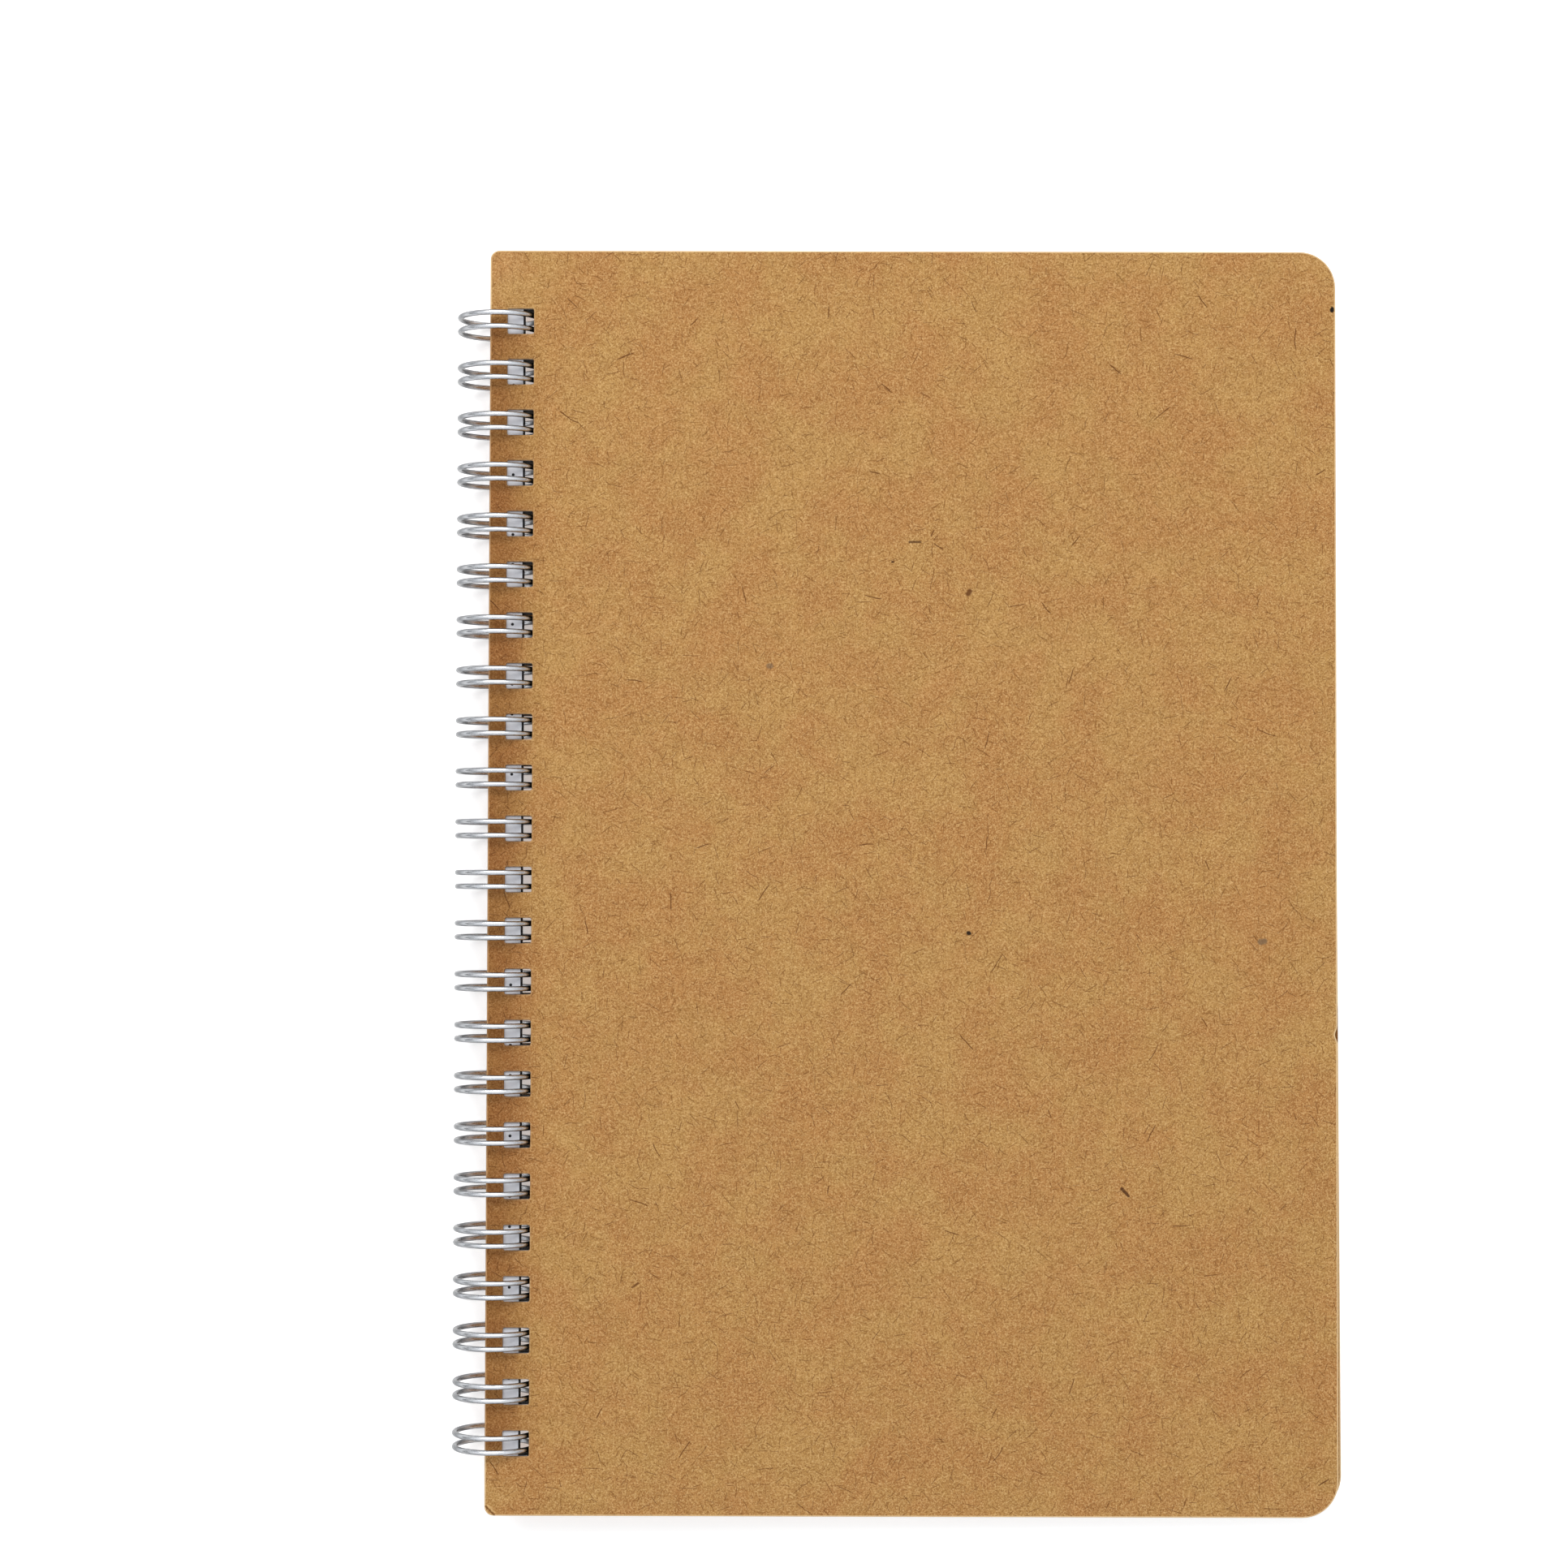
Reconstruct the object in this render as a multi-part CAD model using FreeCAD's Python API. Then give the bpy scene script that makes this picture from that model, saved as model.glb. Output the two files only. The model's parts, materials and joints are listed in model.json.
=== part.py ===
import FreeCAD, Part
import math
import os

from FreeCAD import Vector

# A twin-loop wire bound sketchbook: two card covers and a stack of loose sheets, punched with the
# same row of square holes and held on one continuous wire.
#
# Frame: +X runs from the spine to the fore-edge, +Y along the spine, +Z up, with the sheets lying
# flat. The origin is the bottom centre of the closed book's box. Shapes are drawn about the axis
# of the wire loops, and moved into that frame when they are written.

# ------------------------------------------------------------------ driving dimensions, in mm
SHEET_COUNT = 36

HOLE_COUNT = 23
HOLE_PITCH = 25.4 / 3            # three holes to the inch
HOLE_LENGTH = 4.4                # across the spine
HOLE_WIDTH = 4.2                 # along the spine
HOLE_MARGIN = 2.9                # from a leaf's spine edge to its holes

COVER_WIDTH = 141.0
COVER_HEIGHT = 210.0
COVER_THICKNESS = 0.6
BINDING_MARGIN = 9.0             # strip of each cover that the wire loops reach over

SHEET_WIDTH = 138.0
SHEET_HEIGHT = 209.4
SHEET_THICKNESS = 0.12
SHEET_PITCH = 0.125

FORE_CORNER_RADIUS = 6.0
SPINE_CORNER_RADIUS = 1.5

WIRE_DIAMETER = 0.9
LOOP_RADIUS = 6.6                # to the middle of the wire
LEG_SPACING = 2.3                # between the two loops in one hole
BEND_RADIUS = 1.0                # where a loop turns into the bar beside it
END_STUB = 1.4                   # straight end of the wire past the first and last loops

# Angles about the loop axis, from +X towards +Z, where the round part of a loop starts and ends.
LOOP_START = -2.7
LOOP_END = 330.0

# Places of the leaves, from the axis of the loops.
FRONT_COVER_X = -1.2             # spine edge
FRONT_COVER_Z = 3.85             # underside
SHEET_X = 1.4                    # spine edges
SHEETS_TOP = 3.80
BACK_COVER_X = -0.7              # spine edge
BACK_COVER_Z = -3.6              # underside, at the spine edge
SHEET_GAP = 0.02                 # between the last sheet and the back cover, at the fore-edge

# ------------------------------------------------------------------ values that follow from them
WIRE_RADIUS = WIRE_DIAMETER / 2
LOOP_OUTER = LOOP_RADIUS + WIRE_RADIUS
SHEETS_BOTTOM = SHEETS_TOP - (SHEET_COUNT - 1) * SHEET_PITCH - SHEET_THICKNESS
SHEET_REACH = SHEET_X + SHEET_WIDTH
BACK_COVER_RISE = SHEETS_BOTTOM - SHEET_GAP - COVER_THICKNESS - BACK_COVER_Z
BACK_COVER_TILT = math.degrees(math.asin(BACK_COVER_RISE / (SHEET_REACH - BACK_COVER_X)))
BACK_COVER_REACH = BACK_COVER_X + COVER_WIDTH * math.cos(math.radians(BACK_COVER_TILT))
FRONT_COVER_REACH = FRONT_COVER_X + COVER_WIDTH
BOOK_REACH = max(FRONT_COVER_REACH, BACK_COVER_REACH)

LOOP_AXIS = Vector((LOOP_OUTER - BOOK_REACH) / 2, 0, LOOP_OUTER)

Y_AXIS = Vector(0, 1, 0)
Z_AXIS = Vector(0, 0, 1)


def hole_centres():
    """Places of the holes along the spine, from one end to the other."""
    first = -(HOLE_COUNT - 1) * HOLE_PITCH / 2
    return [first + index * HOLE_PITCH for index in range(HOLE_COUNT)]


# ------------------------------------------------------------------ leaves
def corner(centre_x, centre_y, radius, start_angle):
    """A quarter circle of a leaf's outline, from start_angle in degrees."""
    circle = Part.Circle(Vector(centre_x, centre_y, 0), Z_AXIS, radius)
    start = math.radians(start_angle)
    return Part.Arc(circle, start, start + math.pi / 2).toShape()


def outline(width, height):
    """Outline of a leaf: the spine edge on x = 0, small corners there and large ones outside."""
    top = height / 2
    fore = FORE_CORNER_RADIUS
    spine = SPINE_CORNER_RADIUS
    arcs = [
        corner(width - fore, fore - top, fore, 270),
        corner(width - fore, top - fore, fore, 0),
        corner(spine, top - spine, spine, 90),
        corner(spine, spine - top, spine, 180),
    ]
    edges = []
    for index, arc in enumerate(arcs):
        following = arcs[(index + 1) % len(arcs)]
        edges.append(arc)
        edges.append(Part.makeLine(arc.lastVertex().Point, following.firstVertex().Point))
    return Part.Wire(edges)


def square_hole(centre_y):
    """Outline of one hole, placed from the leaf's spine edge."""
    left = HOLE_MARGIN
    right = HOLE_MARGIN + HOLE_LENGTH
    low = centre_y - HOLE_WIDTH / 2
    high = centre_y + HOLE_WIDTH / 2
    points = [Vector(left, low, 0), Vector(right, low, 0), Vector(right, high, 0), Vector(left, high, 0)]
    return Part.makePolygon(points + points[:1])


def leaf(width, height, thickness):
    """One punched leaf, flat on z = 0 with its spine edge on x = 0."""
    holes = [square_hole(centre) for centre in hole_centres()]
    face = Part.makeFace([outline(width, height)] + holes, "Part::FaceMakerBullseye")
    return face.extrude(Z_AXIS * thickness)


def cover():
    """A cover leaf. Its binding margin and its panel stay separate faces: the panel is clear."""
    card = leaf(COVER_WIDTH, COVER_HEIGHT, COVER_THICKNESS)
    low_corner = Vector(0, -COVER_HEIGHT / 2, 0)
    strip = Part.makeBox(BINDING_MARGIN, COVER_HEIGHT, COVER_THICKNESS, low_corner)
    margin = card.common(strip)
    panel = card.cut(strip)
    return margin.fuse(panel)


def front_cover():
    card = cover()
    card.translate(Vector(FRONT_COVER_X, 0, FRONT_COVER_Z))
    return card


def back_cover():
    """The back cover, which rises from the wire to the last sheet's fore-edge."""
    card = cover()
    card.rotate(Vector(0, 0, 0), Y_AXIS, -BACK_COVER_TILT)
    card.translate(Vector(BACK_COVER_X, 0, BACK_COVER_Z))
    return card


def sheets():
    """The sheets by name, from the top of the stack down."""
    blank = leaf(SHEET_WIDTH, SHEET_HEIGHT, SHEET_THICKNESS)
    stack = {}
    for index in range(SHEET_COUNT):
        paper = blank.copy()
        underside = SHEETS_TOP - index * SHEET_PITCH - SHEET_THICKNESS
        paper.translate(Vector(SHEET_X, 0, underside))
        stack[f"sheet_{index + 1:02d}"] = paper
    return stack


# ------------------------------------------------------------------ wire
def ring_point(angle, y):
    """Point on the middle of a loop, at an angle about the loop axis in degrees."""
    turn = math.radians(angle)
    return Vector(LOOP_RADIUS * math.cos(turn), y, LOOP_RADIUS * math.sin(turn))


def ring_heading(angle):
    """Direction along a loop at that angle, with the angle growing."""
    turn = math.radians(angle)
    return Vector(-math.sin(turn), 0, math.cos(turn))


class WireRun:
    """A round wire laid down piece by piece: each piece starts on the section the last one left."""

    def __init__(self, start, heading):
        self.section = Part.makeCircle(WIRE_RADIUS, start, heading)
        self.faces = [Part.Face(Part.Wire(self.section))]

    def straight(self, travel):
        self.faces.append(self.section.extrude(travel))
        self.section = self.section.copy()
        self.section.translate(travel)

    def turn(self, centre, axis, angle):
        self.faces.append(self.section.revolve(centre, axis, angle))
        self.section = self.section.copy()
        self.section.rotate(centre, axis, angle)

    def solid(self):
        self.faces.append(Part.Face(Part.Wire(self.section)))
        shell = Part.Shell(self.faces)
        shell.sewShape()
        body = Part.Solid(shell)
        body.fix(1e-4, 1e-6, 1e-3)
        return body


def lay_hairpin(run, centre_y):
    """Two loops and the tip that joins them, from the bar on one side to the bar on the other."""
    up = ring_heading(LOOP_START)
    tip = ring_heading(LOOP_END)
    near = centre_y - LEG_SPACING / 2
    far = centre_y + LEG_SPACING / 2
    sweep = LOOP_END - LOOP_START

    first_bend = ring_point(LOOP_START, near - BEND_RADIUS)
    last_bend = ring_point(LOOP_START, far + BEND_RADIUS)
    run.turn(first_bend, Y_AXIS.cross(up), 90)
    run.turn(Vector(0, near, 0), -Y_AXIS, sweep)
    run.turn(ring_point(LOOP_END, centre_y), tip.cross(Y_AXIS), 180)
    run.turn(Vector(0, far, 0), Y_AXIS, sweep)
    run.turn(last_bend, Y_AXIS.cross(up), 90)


def wire_binding():
    """The whole binding wire: a bar, a hairpin through each hole, and bars between them."""
    centres = hole_centres()
    half_hairpin = LEG_SPACING / 2 + BEND_RADIUS
    bar_level = ring_point(LOOP_START, 0) - ring_heading(LOOP_START) * BEND_RADIUS
    start = bar_level + Y_AXIS * (centres[0] - half_hairpin - END_STUB)
    bar = Y_AXIS * (HOLE_PITCH - 2 * half_hairpin)
    stub = Y_AXIS * END_STUB

    run = WireRun(start, Y_AXIS)
    run.straight(stub)
    for centre_y in centres[:-1]:
        lay_hairpin(run, centre_y)
        run.straight(bar)
    lay_hairpin(run, centres[-1])
    run.straight(stub)
    return run.solid()


# ------------------------------------------------------------------ output
def write(name, shape):
    """Move a shape from the loop axis into the book's frame and write it as one sub-part."""
    placed = shape.copy()
    placed.translate(LOOP_AXIS)
    placed.exportStep(f"parts/{name}.step")


def main():
    os.makedirs("parts", exist_ok=True)
    book = {
        "front_cover": front_cover(),
        "back_cover": back_cover(),
        "wire_binding": wire_binding(),
    }
    book.update(sheets())
    for name, shape in book.items():
        write(name, shape)


main()
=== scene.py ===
import json
import math

import bmesh
import bpy
from mathutils import Matrix, Vector


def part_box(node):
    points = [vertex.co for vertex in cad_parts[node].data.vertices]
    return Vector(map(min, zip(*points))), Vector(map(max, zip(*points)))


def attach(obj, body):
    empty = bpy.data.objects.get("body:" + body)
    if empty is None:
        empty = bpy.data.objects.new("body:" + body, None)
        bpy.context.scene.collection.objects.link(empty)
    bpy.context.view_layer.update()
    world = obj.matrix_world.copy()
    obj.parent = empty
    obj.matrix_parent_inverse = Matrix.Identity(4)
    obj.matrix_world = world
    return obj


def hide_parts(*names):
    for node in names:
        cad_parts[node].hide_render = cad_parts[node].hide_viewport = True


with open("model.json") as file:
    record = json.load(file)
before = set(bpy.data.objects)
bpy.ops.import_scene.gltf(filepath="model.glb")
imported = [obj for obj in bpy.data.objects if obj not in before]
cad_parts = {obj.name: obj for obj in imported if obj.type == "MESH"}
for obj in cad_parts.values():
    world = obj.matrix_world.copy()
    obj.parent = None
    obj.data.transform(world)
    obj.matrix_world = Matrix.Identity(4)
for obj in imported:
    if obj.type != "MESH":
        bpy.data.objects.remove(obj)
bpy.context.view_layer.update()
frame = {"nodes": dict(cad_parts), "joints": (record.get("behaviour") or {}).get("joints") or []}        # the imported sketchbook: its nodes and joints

# ------------------------------------------------------------------ sizes, in metres
MM = 0.001

HOLE_COUNT = 23
HOLE_PITCH = 25.4 / 3 * MM
HOLE_LENGTH = 4.4 * MM            # across the spine
HOLE_WIDTH = 4.2 * MM             # along the spine
HOLE_MARGIN = 2.9 * MM            # from a leaf's spine edge
HOLE_CORNER = 0.3 * MM
HOLE_CORNER_STEPS = 3

FORE_CORNER = 6.0 * MM
SPINE_CORNER = 1.5 * MM
CARD_EDGE = 0.18 * MM             # rounding of the card's cut edges
EDGE_SUPPORT = 0.06 * MM          # flat rim that keeps the rounding's shading off the card's faces
EDGE_STEPS = 3
CORNER_STEPS = 12
NICK = (-25.4 * MM, 2.8 * MM, 0.38 * MM)    # place up the fore-edge, length and depth
NICK_STEPS = 8
BACK_COVER_SKEW = 0.85 * MM       # how far the back cover's lower fore-edge stands out
SKEW_START = 12.0 * MM            # how far below the middle that starts
SKEW_RUN = 20.0 * MM              # the height over which it grows

WIRE_RADIUS = 0.45 * MM
LOOP_RADIUS = 6.6 * MM
LEG_SPACING = 2.3 * MM
BEND_RADIUS = 1.0 * MM
END_STUB = 1.4 * MM
LOOP_START = math.radians(-2.7)
LOOP_END = math.radians(330.0)
LOOP_STEPS, TIP_STEPS, BEND_STEPS = 72, 16, 8
WIRE_SIDES = 16

OUTER_SLOT, EDGE_SLOT, INNER_SLOT, HOLE_EDGE_SLOT = range(4)    # material slots of a cover

LOOP_AXIS = Vector(next(j["pos_m"] for j in frame["joints"] if j["name"] == "sheets_turn"))


def hole_centres():
    first = -(HOLE_COUNT - 1) * HOLE_PITCH / 2
    return [first + index * HOLE_PITCH for index in range(HOLE_COUNT)]


# ------------------------------------------------------------------ material helpers
class Shader:
    """A material, with short calls that wire its nodes. Values may be numbers or sockets.

    Its place is the point being shaded, in mm, in the frame of the piece.
    """

    def __init__(self, name):
        self.material = bpy.data.materials.new(name)
        self.material.use_nodes = True
        self.tree = self.material.node_tree
        self.tree.nodes.clear()
        output = self.tree.nodes.new("ShaderNodeOutputMaterial")
        self.surface = self.tree.nodes.new("ShaderNodeBsdfPrincipled")
        self.tree.links.new(self.surface.outputs[0], output.inputs["Surface"])
        self.coordinates = self.tree.nodes.new("ShaderNodeTexCoord")
        self.place = self.vector("SCALE", self.coordinates.outputs["Object"], scale=1 / MM)

    def feed(self, socket, value):
        if isinstance(value, bpy.types.NodeSocket):
            self.tree.links.new(value, socket)
        elif value is not None:
            socket.default_value = value

    def node(self, kind, settings=None, **inputs):
        made = self.tree.nodes.new(kind)
        for name, value in (settings or {}).items():
            setattr(made, name, value)
        for name, value in inputs.items():
            self.feed(made.inputs[name.replace("_", " ")], value)
        return made

    def finish(self, colour, roughness, specular):
        self.feed(self.surface.inputs["Base Color"], colour)
        self.feed(self.surface.inputs["Roughness"], roughness)
        self.feed(self.surface.inputs["Specular IOR Level"], specular)
        return self.material

    def math(self, operation, a, b=0.0, c=0.0):
        made = self.tree.nodes.new("ShaderNodeMath")
        made.operation = operation
        for socket, value in zip(made.inputs, (a, b, c)):
            self.feed(socket, value)
        return made.outputs[0]

    def vector(self, operation, a, b=None, scale=None):
        made = self.tree.nodes.new("ShaderNodeVectorMath")
        made.operation = operation
        self.feed(made.inputs[0], a)
        self.feed(made.inputs[1], b)
        if scale is not None:
            self.feed(made.inputs["Scale"], scale)
        return made.outputs["Value" if operation in ("LENGTH", "DISTANCE") else "Vector"]

    def noise(self, place, scale, detail=2.0, roughness=0.5, distortion=0.0, colour=False):
        made = self.node("ShaderNodeTexNoise", Vector=place, Scale=scale, Detail=detail,
                         Roughness=roughness, Distortion=distortion)
        return made.outputs["Color" if colour else "Fac"]

    def spread(self, value, low, high, to_low=0.0, to_high=1.0):
        """A smooth step from to_low to to_high, as value goes from low to high."""
        made = self.node("ShaderNodeMapRange", {"interpolation_type": "SMOOTHSTEP"}, Value=value)
        for name, number in zip(("From Min", "From Max", "To Min", "To Max"), (low, high, to_low, to_high)):
            self.feed(made.inputs[name], number)
        return made.outputs["Result"]

    def mix(self, factor, a, b, blend="MIX"):
        made = self.tree.nodes.new("ShaderNodeMix")
        made.data_type = "RGBA"
        made.blend_type = blend
        self.feed(made.inputs[0], factor)
        self.feed(made.inputs[6], a)
        self.feed(made.inputs[7], b)
        return made.outputs[2]

    def split(self, value):
        made = self.node("ShaderNodeSeparateXYZ")
        self.feed(made.inputs[0], value)
        return made.outputs

    def bump(self, height, distance, strength=1.0):
        made = self.node("ShaderNodeBump", Height=height, Distance=distance, Strength=strength)
        self.feed(self.surface.inputs["Normal"], made.outputs[0])


def rgb(red, green, blue):
    """A colour from its display values, 0 to 255."""
    def linear(value):
        value /= 255
        return value / 12.92 if value <= 0.04045 else ((value + 0.055) / 1.055) ** 2.4
    return (linear(red), linear(green), linear(blue), 1.0)


# ------------------------------------------------------------------ card
MID_NOISE = (0.5, 0.5, 0.5)       # the middle value of a coloured noise


def strokes(shader, place, cell, length, width, share, bend=0.2, seed=0.0):
    """Short curved strokes, one to a cell, turned at random: paper fibres. Returns a 0..1 mask."""
    shifted = shader.vector("ADD", place, (seed * 37.0, seed * 91.0, 0.0))
    wobble = shader.noise(shifted, 0.9 / length, 1.0, colour=True)
    wobble = shader.vector("SUBTRACT", wobble, MID_NOISE)
    bent = shader.vector("ADD", shifted, shader.vector("SCALE", wobble, scale=bend * length))
    cells = shader.node("ShaderNodeTexVoronoi", {"voronoi_dimensions": "2D"}, Vector=bent, Scale=1 / cell)
    local = shader.vector("SUBTRACT", bent, cells.outputs["Position"])
    for_turn, for_length, for_presence = shader.split(cells.outputs["Color"])
    turn = shader.node("ShaderNodeVectorRotate", {"rotation_type": "Z_AXIS"}, Vector=local,
                       Angle=shader.math("MULTIPLY", for_turn, math.pi))
    along, across, _ = shader.split(turn.outputs[0])
    reach = shader.math("MULTIPLY_ADD", for_length, length / 2, length / 4)
    lengthwise = shader.math("DIVIDE", shader.math("ABSOLUTE", along), reach)
    lengthwise = shader.spread(lengthwise, 1.0, 0.6)
    crosswise = shader.spread(shader.math("ABSOLUTE", across), width / 2, width / 8)
    present = shader.spread(for_presence, 1.0 - share, 1.0 - share * 0.5)
    return shader.math("MULTIPLY", shader.math("MULTIPLY", lengthwise, crosswise), present)


def specks(shader, place, cell, radius, share, seed=0.0):
    """Sparse round flecks of uneven size. Returns a 0..1 mask."""
    shifted = shader.vector("ADD", place, (seed * 53.0, seed * 29.0, 0.0))
    cells = shader.node("ShaderNodeTexVoronoi", {"voronoi_dimensions": "2D"}, Vector=shifted, Scale=1 / cell)
    _, for_size, for_presence = shader.split(cells.outputs["Color"])
    distance = shader.vector("LENGTH", shader.vector("SUBTRACT", shifted, cells.outputs["Position"]))
    rough = shader.math("MULTIPLY_ADD", shader.noise(shifted, 3.0), radius, distance)
    size = shader.math("MULTIPLY_ADD", for_size, radius, radius * 0.8)
    dot = shader.spread(shader.math("SUBTRACT", rough, size), 0.0, -radius * 0.4)
    present = shader.math("GREATER_THAN", for_presence, 1.0 - share)
    return shader.math("MULTIPLY", dot, present)


KRAFT_RED = rgb(177, 125, 70)
KRAFT_YELLOW = rgb(182, 138, 78)
KRAFT_DARK = rgb(112, 68, 28)
KRAFT_PALE = rgb(226, 188, 130)
KRAFT_CUT = rgb(232, 202, 156)
FIBRE_BROWN = rgb(98, 56, 22)
FLECK_BROWN = rgb(66, 32, 10)
FLECK_BLACK = rgb(26, 18, 12)
FLECK_GREY = rgb(116, 92, 68)
# the colour of the painted shadow seen in the front cover's dent
DENT_SHADOW_BROWN = rgb(124, 80, 36)

# Marks on the front cover: place x, y, length and width in mm, angle, colour and strength.
CARD_MARKS = [
    (72.6, 95.3, 0.25, 0.65, 90, FLECK_BLACK, 1.0),
    (3.1, 56.3, 1.8, 0.35, 2, FLECK_BROWN, 0.75),
    (6.0, 57.8, 0.9, 0.22, 65, FIBRE_BROWN, 0.8),
    (7.0, 55.6, 1.6, 0.2, -30, FIBRE_BROWN, 0.8),
    (-0.6, 53.0, 0.2, 0.35, 0, FLECK_BROWN, 0.9),
    (12.1, 47.9, 0.5, 0.7, 55, FIBRE_BROWN, 0.9),
    (38.0, -51.5, 1.6, 0.45, -48, FLECK_BROWN, 0.85),
    (-43.0, -67.0, 1.2, 0.3, 35, FIBRE_BROWN, 0.8),
    (-21.0, 35.6, 0.3, 0.8, 0, FLECK_GREY, 0.7),
    (60.8, -10.0, 0.6, 0.9, 10, FLECK_GREY, 0.8),
    (12.1, -8.7, 0.2, 0.6, 0, FLECK_BLACK, 0.95),
    (-65.5, 102.5, 2.0, 5.0, -45, KRAFT_PALE, 0.05),
    # a crease at the lower spine corner: a dark stroke of painted shade in the fold and a pale stroke beside
    # it
    (-66.9, -104.1, 2.0, 0.24, -45, FIBRE_BROWN, 0.75),
    (-66.65, -103.85, 1.6, 0.24, -45, KRAFT_PALE, 0.5),
]

# The same on the back cover's inside: painted shadow where it shows in the front cover's dent and along the
# fore-edge just above.
BACK_SHADOW_MARKS = [
    (73.9, -23.9, 4.6, 1.3, 90, DENT_SHADOW_BROWN, 0.95),
]

# Sizes of the card's texture, in repeats to the mm, and strengths of its darker and paler parts.
CLOUD_SCALE, BLOTCH_SCALE = 0.09, 0.4
GRAIN_SCALE, GRAIN_DARK, GRAIN_PALE = 2.4, 0.28, 0.2
FINE_SCALE, FINE_DARK, FINE_PALE = 3.9, 0.52, 0.45

CUT_EDGE_PALENESS = 0.7
HOLE_EDGE_PALENESS = 0.15

MARGIN_SHADE = (0.68, 0.56, 0.48, 1.0)     # the darkest painted shade on the binding margin
MARGIN_DARK, MARGIN_CLEAR = 1.5, 10.5      # from the spine edge, in mm


def paint_mark(shader, colour, place, mark):
    """Paint one mark over colour: a stroke with round ends and a soft outline."""
    x, y, length, width, angle, tint, strength = mark
    local = shader.vector("SUBTRACT", place, (x, y, 0.0))
    turned = shader.node("ShaderNodeVectorRotate", {"rotation_type": "Z_AXIS"}, Vector=local,
                         Angle=-math.radians(angle))
    along, across, _ = shader.split(turned.outputs[0])
    past_end = shader.math("SUBTRACT", shader.math("ABSOLUTE", along), length / 2)
    past_end = shader.math("MAXIMUM", past_end, 0.0)
    squares = shader.math("MULTIPLY", past_end, past_end)
    squares = shader.math("MULTIPLY_ADD", across, across, squares)
    mask = shader.spread(shader.math("SQRT", squares), width * 0.75, width * 0.35, 0.0, strength)
    return shader.mix(mask, colour, tint)


def card_grain(shader, place):
    """Colour of the bare card: soft clouding, and a felted grain at two sizes."""
    clouds = shader.noise(place, CLOUD_SCALE, 3.0, 0.6)
    blotches = shader.noise(place, BLOTCH_SCALE, 2.0, 0.6)
    grain = shader.noise(place, GRAIN_SCALE, 1.0, 0.5, distortion=1.2)
    fine = shader.noise(place, FINE_SCALE, 1.0, 0.5, distortion=0.8)
    colour = shader.mix(shader.spread(clouds, 0.35, 0.65), KRAFT_RED, KRAFT_YELLOW)
    colour = shader.mix(shader.spread(blotches, 0.3, 0.7, 0.14, 0.0), colour, KRAFT_DARK)
    for texture, dark, pale in ((grain, GRAIN_DARK, GRAIN_PALE), (fine, FINE_DARK, FINE_PALE)):
        colour = shader.mix(shader.spread(texture, 0.28, 0.52, dark, 0.0), colour, KRAFT_DARK)
        colour = shader.mix(shader.spread(texture, 0.5, 0.72, 0.0, pale), colour, KRAFT_PALE)
    return colour


def card_fibres(shader, colour, place):
    """Pale and dark fibres lying in the card, and a few flecks, painted over colour."""
    layers = (
        (strokes(shader, place, cell=1.0, length=1.3, width=0.14, share=0.9, seed=1.0), 0.35, KRAFT_PALE),
        (strokes(shader, place, cell=1.8, length=1.5, width=0.17, share=0.8, seed=2.0), 0.75, KRAFT_DARK),
        (strokes(shader, place, cell=3.2, length=2.2, width=0.19, share=0.6, bend=0.3, seed=3.0),
         0.7, FIBRE_BROWN),
        (strokes(shader, place, cell=13.0, length=3.0, width=0.24, share=0.5, bend=0.3, seed=4.0),
         0.95, FIBRE_BROWN),
        (specks(shader, place, cell=15.0, radius=0.2, share=0.35, seed=5.0), 0.85, FLECK_BROWN),
    )
    for mask, strength, tint in layers:
        colour = shader.mix(shader.math("MULTIPLY", mask, strength), colour, tint)
    return colour


def card_marks(shader, colour, place, marks):
    """Separate marks painted over colour, with slightly uneven outlines."""
    wobble = shader.vector("SUBTRACT", shader.noise(place, 1.5, 1.0, colour=True), MID_NOISE)
    uneven = shader.vector("ADD", shader.place, shader.vector("SCALE", wobble, scale=0.25))
    for mark in marks:
        colour = paint_mark(shader, colour, uneven, mark)
    return colour


def painted_margin_shade(shader, colour, spine_edge):
    """Painted shade on the binding margin where the wire's loops shade it: darker towards its spine edge,
    along the row of holes.
    """
    x, y, _ = shader.split(shader.place)
    inward = shader.math("SUBTRACT", x, spine_edge / MM)
    shaded = shader.spread(inward, MARGIN_DARK, MARGIN_CLEAR, 1.0, 0.0)
    row_end = hole_centres()[-1] / MM
    in_row = shader.spread(shader.math("ABSOLUTE", y), row_end - 0.5, row_end + 2.5, 1.0, 0.0)
    return shader.mix(shader.math("MULTIPLY", shaded, in_row), colour, MARGIN_SHADE, "MULTIPLY")


def kraft_card(name, spine_edge, seed, paleness=0.0, marks=()):
    """Uncoated kraft card. Its cut edges show the paler inside of the card."""
    shader = Shader(name)
    place = shader.vector("ADD", shader.place, (seed * 311.0, seed * 173.0, 0.0))
    colour = card_fibres(shader, card_grain(shader, place), place)
    if paleness:
        colour = shader.mix(paleness, colour, KRAFT_CUT)
    # painted shade across the binding margin, laid over the marks
    colour = painted_margin_shade(shader, card_marks(shader, colour, place, marks), spine_edge)
    shader.bump(shader.noise(place, 2.6, 1.0), 0.03 * MM, 0.5)
    return shader.finish(colour, roughness=0.85, specular=0.2)


# ------------------------------------------------------------------ paper
PAPER_DARK, PAPER_PALE = rgb(228, 228, 230), rgb(240, 240, 240)
PAPER_EDGE_DARK, PAPER_EDGE_PALE = rgb(176, 174, 170), rgb(232, 231, 228)
PAPER_MARGIN_SHADE = rgb(214, 215, 221)
HOLE_SHADE = rgb(46, 44, 38)
DOT_INK = rgb(24, 24, 27)

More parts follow.
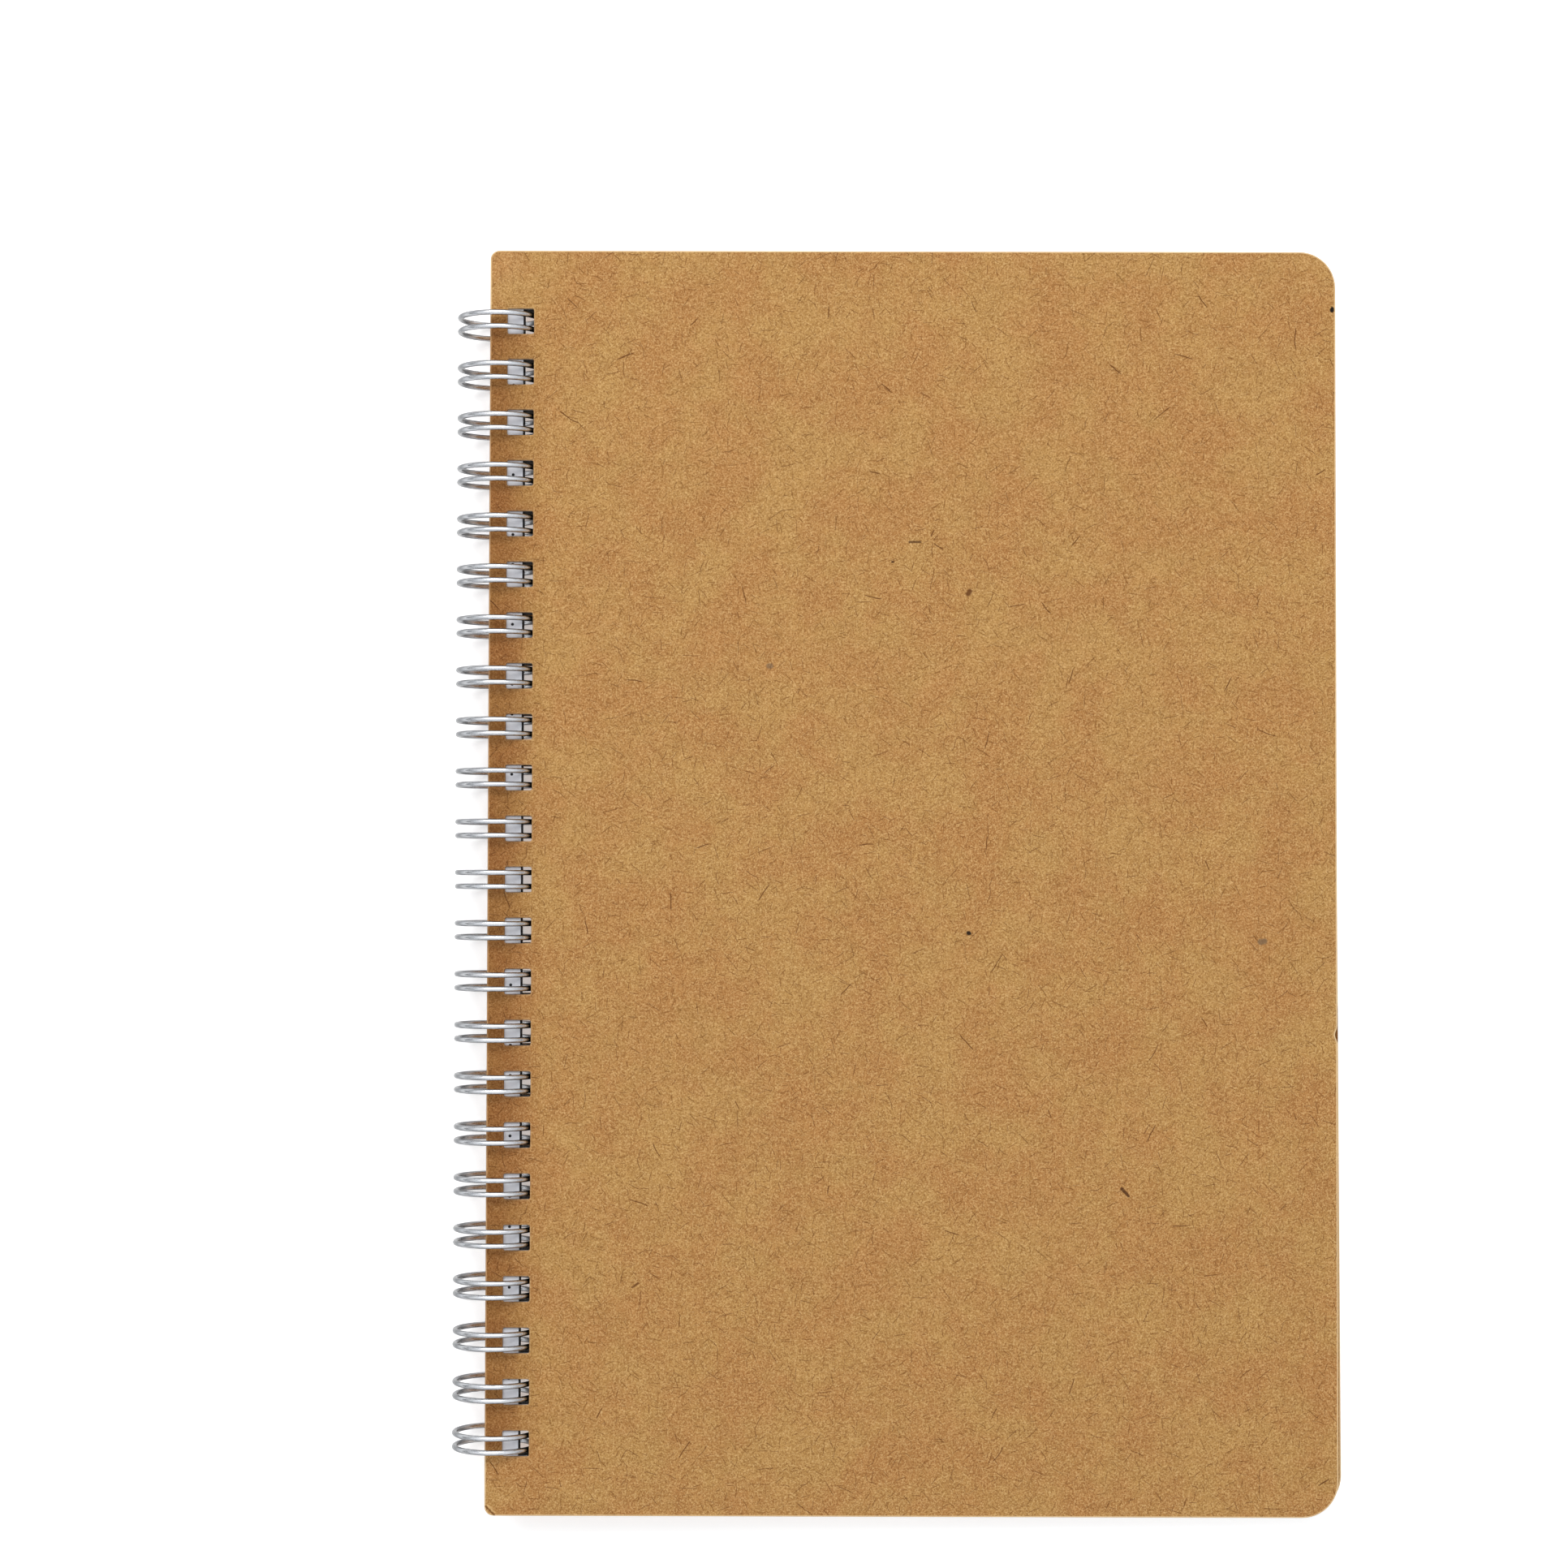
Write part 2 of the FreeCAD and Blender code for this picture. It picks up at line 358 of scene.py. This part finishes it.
# The paper's printing and shading, in mm.
DOT_PITCH = 5.0
DOT_RADIUS = 0.25
FIRST_DOT = 1.3                            # from a sheet's spine edge to the first row of dots
SHADE_START, SHADE_END = 4.5, 13.0         # from the spine edge, how far the binding's shade reaches
HOLE_SLACK = 0.1                           # how far a hole's walls are looked for beside the hole
ROW_SLACK = 3.0                            # and past the middle of the last hole


def dot_mask(shader, spine_edge):
    """The printed dot grid. Returns a 0..1 mask."""
    x, y, _ = shader.split(shader.place)
    offsets = []
    for value, first in ((x, spine_edge / MM + FIRST_DOT), (y, DOT_PITCH / 2)):
        steps = shader.math("DIVIDE", shader.math("SUBTRACT", value, first), DOT_PITCH)
        nearest = shader.math("SUBTRACT", steps, shader.math("ROUND", steps))
        offsets.append(shader.math("MULTIPLY", nearest, DOT_PITCH))
    squares = [shader.math("MULTIPLY", offset, offset) for offset in offsets]
    distance = shader.math("SQRT", shader.math("ADD", squares[0], squares[1]))
    return shader.spread(distance, DOT_RADIUS * 1.15, DOT_RADIUS * 0.85)


def flat_side_mask(shader):
    """1 on a sheet's flat sides and 0 on its cut edges, whichever way the sheet is turned."""
    geometry = shader.node("ShaderNodeNewGeometry")
    facing = shader.node("ShaderNodeVectorTransform", {"convert_from": "WORLD", "convert_to": "OBJECT"})
    shader.feed(facing.inputs[0], geometry.outputs["Normal"])
    upward = shader.split(facing.outputs[0])[2]
    return shader.math("GREATER_THAN", shader.math("ABSOLUTE", upward), 0.7)


def hole_mask(shader, inward):
    """1 in the strip that the row of holes takes up, and 0 elsewhere."""
    hole_middle = (HOLE_MARGIN + HOLE_LENGTH / 2) / MM
    in_strip = shader.math("COMPARE", inward, hole_middle, HOLE_LENGTH / MM / 2 + HOLE_SLACK)
    row_end = hole_centres()[-1] / MM + ROW_SLACK
    in_row = shader.math("LESS_THAN", shader.math("ABSOLUTE", shader.split(shader.place)[1]), row_end)
    return shader.math("MULTIPLY", in_strip, in_row)


def dot_grid_paper(name, spine_edge):
    """White paper with a printed dot grid, with painted shade on its binding margin by the wire and on the
    walls of its holes.
    """
    shader = Shader(name)
    flat = flat_side_mask(shader)
    inward = shader.math("SUBTRACT", shader.split(shader.place)[0], spine_edge / MM)

    tooth = shader.noise(shader.place, 2.4, 3.0, 0.6)
    side = shader.mix(shader.spread(tooth, 0.3, 0.7), PAPER_DARK, PAPER_PALE)
    # painted shade on the binding margin, fading out away from the spine edge
    side = shader.mix(shader.spread(inward, SHADE_START, SHADE_END, 0.75, 0.0), side, PAPER_MARGIN_SHADE)

    layers = shader.noise(shader.vector("MULTIPLY", shader.place, (0.02, 0.02, 7.0)), 1.0, 1.0)
    edge = shader.mix(shader.spread(layers, 0.35, 0.65), PAPER_EDGE_DARK, PAPER_EDGE_PALE)
    # painted shade on the walls of the punched holes
    edge = shader.mix(hole_mask(shader, inward), edge, HOLE_SHADE)

    colour = shader.mix(flat, edge, side)
    colour = shader.mix(shader.math("MULTIPLY", dot_mask(shader, spine_edge), flat), colour, DOT_INK)
    shader.bump(tooth, 0.012 * MM, 0.5)
    return shader.finish(colour, roughness=0.7, specular=0.3)


# ------------------------------------------------------------------ wire and floor
WIRE_DARK, WIRE_PALE = rgb(236, 238, 241), rgb(250, 250, 251)
WIRE_BLUE = rgb(202, 208, 218)
WIRE_PAINTED_SHADE = rgb(70, 72, 74)

# Where shade is painted on the wire inside the holes: outward from the loop axis, and down past the front
# cover.
WIRE_SHADE_START, WIRE_SHADE_FULL = 4.7, 5.6
WIRE_SHADE_TOP, WIRE_SHADE_BELOW = 4.4, 3.4


def drawn_wire(name):
    """Bright drawn steel wire, with fine lines along its length, with painted shade where it runs in the
    holes and a painted dark reflection along its sides.
    """
    shader = Shader(name)
    streaks = shader.vector("MULTIPLY", shader.coordinates.outputs["UV"], (26.0, 0.6, 1.0))
    lines = shader.noise(streaks, 1.0, 3.0, 0.6)
    patches = shader.noise(shader.place, 0.8, 2.0)
    colour = shader.mix(shader.spread(lines, 0.3, 0.7), WIRE_DARK, WIRE_PALE)
    colour = shader.mix(shader.spread(patches, 0.35, 0.7, 0.0, 0.25), colour, WIRE_BLUE)

    x, _, z = shader.split(shader.place)
    in_holes = shader.spread(x, LOOP_AXIS.x / MM + WIRE_SHADE_START, LOOP_AXIS.x / MM + WIRE_SHADE_FULL)
    below_cover = shader.spread(z, LOOP_AXIS.z / MM + WIRE_SHADE_TOP, LOOP_AXIS.z / MM + WIRE_SHADE_BELOW)
    wire_hole_shade = shader.math("MULTIPLY", shader.math("MULTIPLY", in_holes, below_cover), 0.92)
    # painted shade on the legs of the loops inside the holes
    colour = shader.mix(wire_hole_shade, colour, WIRE_PAINTED_SHADE)
    # a painted dark reflection along the wire's sides where they turn away from view
    facing = shader.node("ShaderNodeLayerWeight", Blend=0.5).outputs["Facing"]
    colour = shader.mix(shader.spread(facing, 0.12, 0.62, 0.0, 0.85), colour, WIRE_PAINTED_SHADE)

    shader.feed(shader.surface.inputs["Metallic"], 1.0)
    shader.bump(lines, 0.004 * MM, 0.4)
    return shader.finish(colour, roughness=shader.spread(lines, 0.3, 0.7, 0.22, 0.32), specular=0.5)


FLOOR_NEAR, FLOOR_FAR = 300.0, 1400.0      # from the origin, in mm
GLOW_NEAR, GLOW_FAR = 0.36, 0.65


def studio_floor(name):
    """Pale matt paper. The far floor glows more, so that it meets the backdrop without a dark line."""
    shader = Shader(name)
    tone = shader.noise(shader.place, 0.01, 2.0)
    away = shader.vector("LENGTH", shader.place)
    glow = shader.spread(away, FLOOR_NEAR, FLOOR_FAR, GLOW_NEAR, GLOW_FAR)
    shader.feed(shader.surface.inputs["Emission Color"], (1.0, 1.0, 1.0, 1.0))
    shader.feed(shader.surface.inputs["Emission Strength"], glow)
    colour = shader.mix(tone, rgb(250, 250, 250), rgb(252, 252, 252))
    return shader.finish(colour, roughness=0.9, specular=0.1)


# ------------------------------------------------------------------ mesh helpers
def finish_mesh(name, bm, materials, smooth_angle=40):
    """An object made from bm, shaded smooth except at edges sharper than smooth_angle."""
    bmesh.ops.recalc_face_normals(bm, faces=bm.faces)
    mesh = bpy.data.meshes.new(name)
    bm.to_mesh(mesh)
    bm.free()
    for material in materials:
        mesh.materials.append(material)
    mesh.shade_smooth()
    mesh.set_sharp_from_angle(angle=math.radians(smooth_angle))
    made = bpy.data.objects.new(name, mesh)
    bpy.context.scene.collection.objects.link(made)
    return made


def arc(centre, radius, start, end, steps):
    """Points on a circle in the plane of a leaf, from start to end in degrees."""
    points = []
    for step in range(steps + 1):
        angle = math.radians(start + (end - start) * step / steps)
        points.append((centre[0] + radius * math.cos(angle), centre[1] + radius * math.sin(angle)))
    return points


def rounded_box(low, high, left_radius, right_radius, steps):
    """A rectangle's outline, anticlockwise, with its left and right corners rounded."""
    left, right = left_radius, right_radius
    points = arc((high[0] - right, low[1] + right), right, 270, 360, steps)
    points += arc((high[0] - right, high[1] - right), right, 0, 90, steps)
    points += arc((low[0] + left, high[1] - left), left, 90, 180, steps)
    points += arc((low[0] + left, low[1] + left), left, 180, 270, steps)
    return points


def nicked_edge(x, nick):
    """Points up a fore-edge at x, dented where it has been knocked."""
    centre, length, depth = nick
    points = []
    for step in range(NICK_STEPS + 1):
        share = step / NICK_STEPS
        points.append((x - depth * math.sin(math.pi * share) ** 2, centre + length * (share - 0.5)))
    return points


def leaf_outlines(width, height, inset, nick):
    """The outline of a leaf and of its holes, drawn in from the cut edge by inset."""
    half = height / 2
    outer = rounded_box((inset, inset - half), (width - inset, half - inset),
                        SPINE_CORNER - inset, FORE_CORNER - inset, CORNER_STEPS)
    if nick:
        outer[CORNER_STEPS + 1:CORNER_STEPS + 1] = nicked_edge(width - inset, nick)
    outlines = [outer]
    for centre in hole_centres():
        low = (HOLE_MARGIN - inset, centre - HOLE_WIDTH / 2 - inset)
        high = (HOLE_MARGIN + HOLE_LENGTH + inset, centre + HOLE_WIDTH / 2 + inset)
        radius = HOLE_CORNER + inset
        outlines.append(rounded_box(low, high, radius, radius, HOLE_CORNER_STEPS))
    return outlines


def edge_profile(thickness):
    """Inset and height of each line round a leaf's cut edge, from its underside to its top."""
    profile = [(CARD_EDGE + EDGE_SUPPORT, 0.0)]
    for step in range(EDGE_STEPS + 1):
        angle = math.pi / 2 * step / EDGE_STEPS
        profile.append((CARD_EDGE * (1 - math.sin(angle)), CARD_EDGE * (1 - math.cos(angle))))
    return profile + [(inset, thickness - height) for inset, height in reversed(profile)]


def leaf_mesh(width, height, thickness, top_slot, bottom_slot, nick=None):
    """A punched leaf with rounded cut edges: its flat sides and its edges take separate materials."""
    bm = bmesh.new()
    levels = []
    for inset, level in edge_profile(thickness):
        rings = []
        for outline in leaf_outlines(width, height, inset, nick):
            rings.append([bm.verts.new((x, y, level)) for x, y in outline])
        levels.append(rings)
    for lower, upper in zip(levels, levels[1:]):
        for which, (ring_a, ring_b) in enumerate(zip(lower, upper)):
            for index in range(len(ring_a)):
                following = (index + 1) % len(ring_a)
                face = bm.faces.new((ring_a[index], ring_a[following], ring_b[following], ring_b[index]))
                face.material_index = HOLE_EDGE_SLOT if which else EDGE_SLOT
    for rings, slot in ((levels[0], bottom_slot), (levels[-1], top_slot)):
        edges = []
        for ring in rings:
            for index, vertex in enumerate(ring):
                edges.append(bm.edges.get((vertex, ring[(index + 1) % len(ring)])))
        for item in bmesh.ops.triangle_fill(bm, edges=edges, use_beauty=True)["geom"]:
            if isinstance(item, bmesh.types.BMFace):
                item.material_index = slot
    return bm


# ------------------------------------------------------------------ covers
def cover_materials(side, spine_edge, outer_seed, outer_marks, inner_marks, edge_marks):
    """Materials of one cover, in the order of its slots."""
    return [
        kraft_card(f"kraft_{side}_outer", spine_edge, outer_seed, marks=outer_marks),
        kraft_card(f"kraft_{side}_cut_edge", spine_edge, outer_seed, CUT_EDGE_PALENESS, edge_marks),
        kraft_card(f"kraft_{side}_inner", spine_edge, outer_seed + 1, marks=inner_marks),
        kraft_card(f"kraft_{side}_hole_edge", spine_edge, outer_seed, HOLE_EDGE_PALENESS),
    ]


def place_cover(name, node, bm, materials):
    cover = finish_mesh(name, bm, materials)
    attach(cover, node)
    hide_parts(node)


def front_cover():
    low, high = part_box("front_cover")
    bm = leaf_mesh(high.x - low.x, high.y - low.y, high.z - low.z, OUTER_SLOT, INNER_SLOT, NICK)
    for vertex in bm.verts:
        vertex.co += Vector((low.x, 0, low.z))
    materials = cover_materials("front", low.x, 0, CARD_MARKS, (), CARD_MARKS)
    place_cover("front_cover_card", "front_cover", bm, materials)


def skewed(place, width):
    """A point of the back cover, before it is tilted, with its lower fore-edge drawn outward."""
    share = min(max((-place.y - SKEW_START) / SKEW_RUN, 0), 1)
    return place + Vector((BACK_COVER_SKEW * share * (place.x / width) ** 2, 0, 0))


def back_cover():
    """The back cover, tilted as its solid is: its spine edge low and its fore-edge high."""
    front_low, front_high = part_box("front_cover")
    width, height, thickness = front_high - front_low
    low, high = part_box("back_cover")
    tilt = math.asin((high.z - low.z - thickness) / width)
    spine_edge = high.x - width * math.cos(tilt)
    bm = leaf_mesh(width, height, thickness, INNER_SLOT, OUTER_SLOT)
    for vertex in bm.verts:
        vertex.co = skewed(vertex.co, width)
    turn = Matrix.Rotation(-tilt, 4, "Y")
    bmesh.ops.transform(bm, matrix=Matrix.Translation((spine_edge, 0, low.z)) @ turn, verts=bm.verts)
    # the back cover's inside and cut edge carry the painted dent shadow
    materials = cover_materials("back", spine_edge, 2, (), BACK_SHADOW_MARKS, BACK_SHADOW_MARKS)
    place_cover("back_cover_card", "back_cover", bm, materials)


# ------------------------------------------------------------------ wire
def ring_point(angle, y):
    return Vector((LOOP_RADIUS * math.cos(angle), y, LOOP_RADIUS * math.sin(angle)))


def ring_heading(angle):
    return Vector((-math.sin(angle), 0, math.cos(angle)))


def swing(point, centre, axis, angle, steps):
    """Points of a turn of the wire from point, leaving the first one out."""
    return [
        centre + Matrix.Rotation(angle * step / steps, 3, axis) @ (point - centre)
        for step in range(1, steps + 1)
    ]


def wire_path():
    """The middle line of the whole wire, about the loop axis: bar, loop, tip and loop, over and over."""
    y_axis = Vector((0, 1, 0))
    up, tip = ring_heading(LOOP_START), ring_heading(LOOP_END)
    sweep = LOOP_END - LOOP_START
    bar_level = ring_point(LOOP_START, 0) - up * BEND_RADIUS
    half_hairpin = LEG_SPACING / 2 + BEND_RADIUS
    centres = hole_centres()
    path = [bar_level + y_axis * (centres[0] - half_hairpin - END_STUB)]
    for centre in centres:
        near, far = centre - LEG_SPACING / 2, centre + LEG_SPACING / 2
        first_bend = ring_point(LOOP_START, near - BEND_RADIUS)
        last_bend = ring_point(LOOP_START, far + BEND_RADIUS)
        path.append(bar_level + y_axis * (centre - half_hairpin))
        path += swing(path[-1], first_bend, y_axis.cross(up), math.pi / 2, BEND_STEPS)
        path += swing(path[-1], Vector((0, near, 0)), -y_axis, sweep, LOOP_STEPS)
        path += swing(path[-1], ring_point(LOOP_END, centre), tip.cross(y_axis), math.pi, TIP_STEPS)
        path += swing(path[-1], Vector((0, far, 0)), y_axis, sweep, LOOP_STEPS)
        path += swing(path[-1], last_bend, y_axis.cross(up), math.pi / 2, BEND_STEPS)
    path.append(path[-1] + y_axis * END_STUB)
    return path


def tube(bm, path, radius, sides):
    """A round tube along path, with its length and its way round as a UV map, and closed ends."""
    uv = bm.loops.layers.uv.new("UVMap")
    rings, travelled = [], []
    normal = Vector((1, 0, 0))
    distance = 0.0
    for index, point in enumerate(path):
        before = path[max(index - 1, 0)]
        after = path[min(index + 1, len(path) - 1)]
        heading = (after - before).normalized()
        normal = (normal - heading * normal.dot(heading)).normalized()
        side = heading.cross(normal)
        distance += (point - before).length
        travelled.append(distance / MM)
        ring = []
        for step in range(sides):
            angle = 2 * math.pi * step / sides
            outward = normal * math.cos(angle) + side * math.sin(angle)
            ring.append(bm.verts.new(point + outward * radius))
        rings.append(ring)
    for index in range(len(rings) - 1):
        for step in range(sides):
            following = (step + 1) % sides
            corners = (rings[index][step], rings[index][following],
                       rings[index + 1][following], rings[index + 1][step])
            face = bm.faces.new(corners)
            around = (step / sides, (step + 1) / sides, (step + 1) / sides, step / sides)
            along = (travelled[index], travelled[index], travelled[index + 1], travelled[index + 1])
            for loop, u, v in zip(face.loops, around, along):
                loop[uv].uv = (u, v)
    bm.faces.new(list(reversed(rings[0])))
    bm.faces.new(rings[-1])


def wire_binding(material):
    bm = bmesh.new()
    tube(bm, wire_path(), WIRE_RADIUS, WIRE_SIDES)
    for vertex in bm.verts:
        vertex.co += LOOP_AXIS
    wire = finish_mesh("twin_loop_wire", bm, [material], smooth_angle=60)
    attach(wire, "book_block")
    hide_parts("wire_binding")


# ------------------------------------------------------------------ sheets
def sheets(material):
    for name, node in frame["nodes"].items():
        if name.startswith("sheet_"):
            node.data.materials.clear()
            node.data.materials.append(material)


# ------------------------------------------------------------------ studio
FLOOR_SIZE = 4.0
FLOOR_CELLS = 8

KEY_PLACE = (-0.1, 0.55, 0.9)
KEY_SIZE = (0.9, 0.6)
KEY_POWER = 6.5

SKY_LOW, SKY_HIGH = 0.05, 0.6              # rise of a direction, from the horizon up
SKY_DIM, SKY_BRIGHT = 0.2, 0.8
SKY_LIGHT = (0.95, 0.97, 1.0, 1.0)
BACKDROP = (0.96, 0.96, 0.96, 1.0)

CAMERA_PLACE = Vector((-17.5, 1.2, 529.0)) * MM
CAMERA_TURN = (1.635, 0.119, 0.137)        # in degrees, from looking straight down
LENS, SENSOR = 71.55, 36.0


def floor_slope():
    """Slope of the table under the book, and how far it is from the loop axis.

    The book rests on its loops and on its back cover's fore-edge.
    """
    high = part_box("back_cover")[1]
    front_low, front_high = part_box("front_cover")
    edge = Vector((high.x + BACK_COVER_SKEW, high.z - (front_high.z - front_low.z)))
    outer = LOOP_RADIUS + WIRE_RADIUS
    away = edge - Vector((LOOP_AXIS.x, LOOP_AXIS.z))
    return math.atan2(away.y, away.x) + math.asin(outer / away.length), outer


def floor(material):
    slope, outer = floor_slope()
    foot = LOOP_AXIS + Vector((math.sin(slope), 0, -math.cos(slope))) * outer
    bm = bmesh.new()
    bmesh.ops.create_grid(bm, x_segments=FLOOR_CELLS, y_segments=FLOOR_CELLS, size=FLOOR_SIZE)
    turn = Matrix.Translation(foot) @ Matrix.Rotation(-slope, 4, "Y")
    bmesh.ops.transform(bm, matrix=turn, verts=bm.verts)
    finish_mesh("studio_floor", bm, [material])


def key_light():
    """One large soft light, above the head of the book and aimed at its middle."""
    light = bpy.data.lights.new("key_softbox", "AREA")
    light.shape = "RECTANGLE"
    light.size, light.size_y = KEY_SIZE
    light.energy = KEY_POWER
    made = bpy.data.objects.new("key_softbox", light)
    made.location = KEY_PLACE
    made.rotation_euler = (-Vector(KEY_PLACE)).to_track_quat("-Z", "Y").to_euler()
    bpy.context.scene.collection.objects.link(made)


def studio_world():
    """Soft light from all round, brighter above than at the horizon; the camera sees it pale."""
    world = bpy.data.worlds.new("studio")
    bpy.context.scene.world = world
    world.use_nodes = True
    tree = world.node_tree
    tree.nodes.clear()
    output = tree.nodes.new("ShaderNodeOutputWorld")
    coordinates = tree.nodes.new("ShaderNodeTexCoord")
    split = tree.nodes.new("ShaderNodeSeparateXYZ")
    rise = tree.nodes.new("ShaderNodeMapRange")
    range_ends = {"From Min": SKY_LOW, "From Max": SKY_HIGH, "To Min": SKY_DIM, "To Max": SKY_BRIGHT}
    for name, value in range_ends.items():
        rise.inputs[name].default_value = value
    seen = tree.nodes.new("ShaderNodeBackground")
    seen.inputs["Color"].default_value = BACKDROP
    lit = tree.nodes.new("ShaderNodeBackground")
    lit.inputs["Color"].default_value = SKY_LIGHT
    path = tree.nodes.new("ShaderNodeLightPath")
    choose = tree.nodes.new("ShaderNodeMixShader")
    tree.links.new(coordinates.outputs["Generated"], split.inputs[0])
    tree.links.new(split.outputs["Z"], rise.inputs["Value"])
    tree.links.new(rise.outputs["Result"], lit.inputs["Strength"])
    tree.links.new(path.outputs["Is Camera Ray"], choose.inputs[0])
    tree.links.new(lit.outputs[0], choose.inputs[1])
    tree.links.new(seen.outputs[0], choose.inputs[2])
    tree.links.new(choose.outputs[0], output.inputs["Surface"])


def camera():
    """Almost straight above the book, a little off its middle, tipped by a degree or two."""
    data = bpy.data.cameras.new("camera")
    data.sensor_width = SENSOR
    data.lens = LENS
    data.clip_start, data.clip_end = 0.01, 10
    made = bpy.data.objects.new("camera", data)
    made.location = CAMERA_PLACE
    made.rotation_euler = [math.radians(angle) for angle in CAMERA_TURN]
    bpy.context.scene.collection.objects.link(made)
    bpy.context.scene.camera = made


def studio():
    floor(studio_floor("floor_paper"))
    key_light()
    studio_world()
    camera()
    bpy.context.scene.view_settings.view_transform = "Standard"


# ------------------------------------------------------------------ build
front_cover()
back_cover()
wire_binding(drawn_wire("drawn_steel_wire"))
sheets(dot_grid_paper("dot_grid_paper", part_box("sheet_01")[0].x))
studio()
